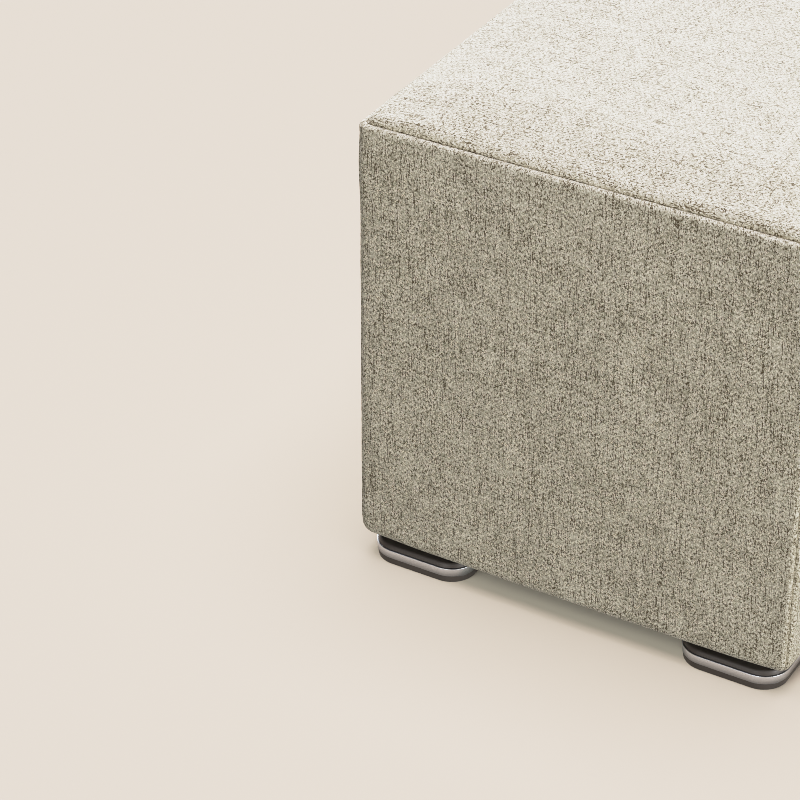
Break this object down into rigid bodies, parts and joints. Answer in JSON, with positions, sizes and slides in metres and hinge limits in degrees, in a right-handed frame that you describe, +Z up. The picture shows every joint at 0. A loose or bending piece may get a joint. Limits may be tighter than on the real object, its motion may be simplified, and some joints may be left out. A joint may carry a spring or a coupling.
{
  "type": "cube pouf stool",
  "caption": "Cube pouf stool: padded woven cloth panels sewn along the edges of a cube, crowned top, low rounded feet with a brushed metal band.",
  "frame": {"origin": "on the floor, under the middle of the pouf's box", "axes": "+Z up; the front panel faces -Y; +X is to the right seen from the front"},
  "size_m": [0.455, 0.455, 0.49],
  "materials": {
    "woven_cloth": "slubby plain-weave tweed of cream, greige and olive-brown yarns, matt",
    "dust_cloth": "plain black non-woven cloth, matt",
    "foot_plastic": "dark brown moulded plastic, satin",
    "foot_band": "brushed along the band, satin"
  },
  "bodies": {
    "root": {"top_panel": "woven_cloth", "front_panel": "woven_cloth", "right_panel": "woven_cloth", "back_panel": "woven_cloth", "left_panel": "woven_cloth", "underside_panel": "dust_cloth", "foot_front_left": "foot_plastic", "foot_front_right": "foot_plastic", "foot_back_left": "foot_plastic", "foot_back_right": "foot_plastic", "foot_band_front_left": "foot_band", "foot_band_front_right": "foot_band", "foot_band_back_left": "foot_band", "foot_band_back_right": "foot_band"}
  },
  "joints": []
}
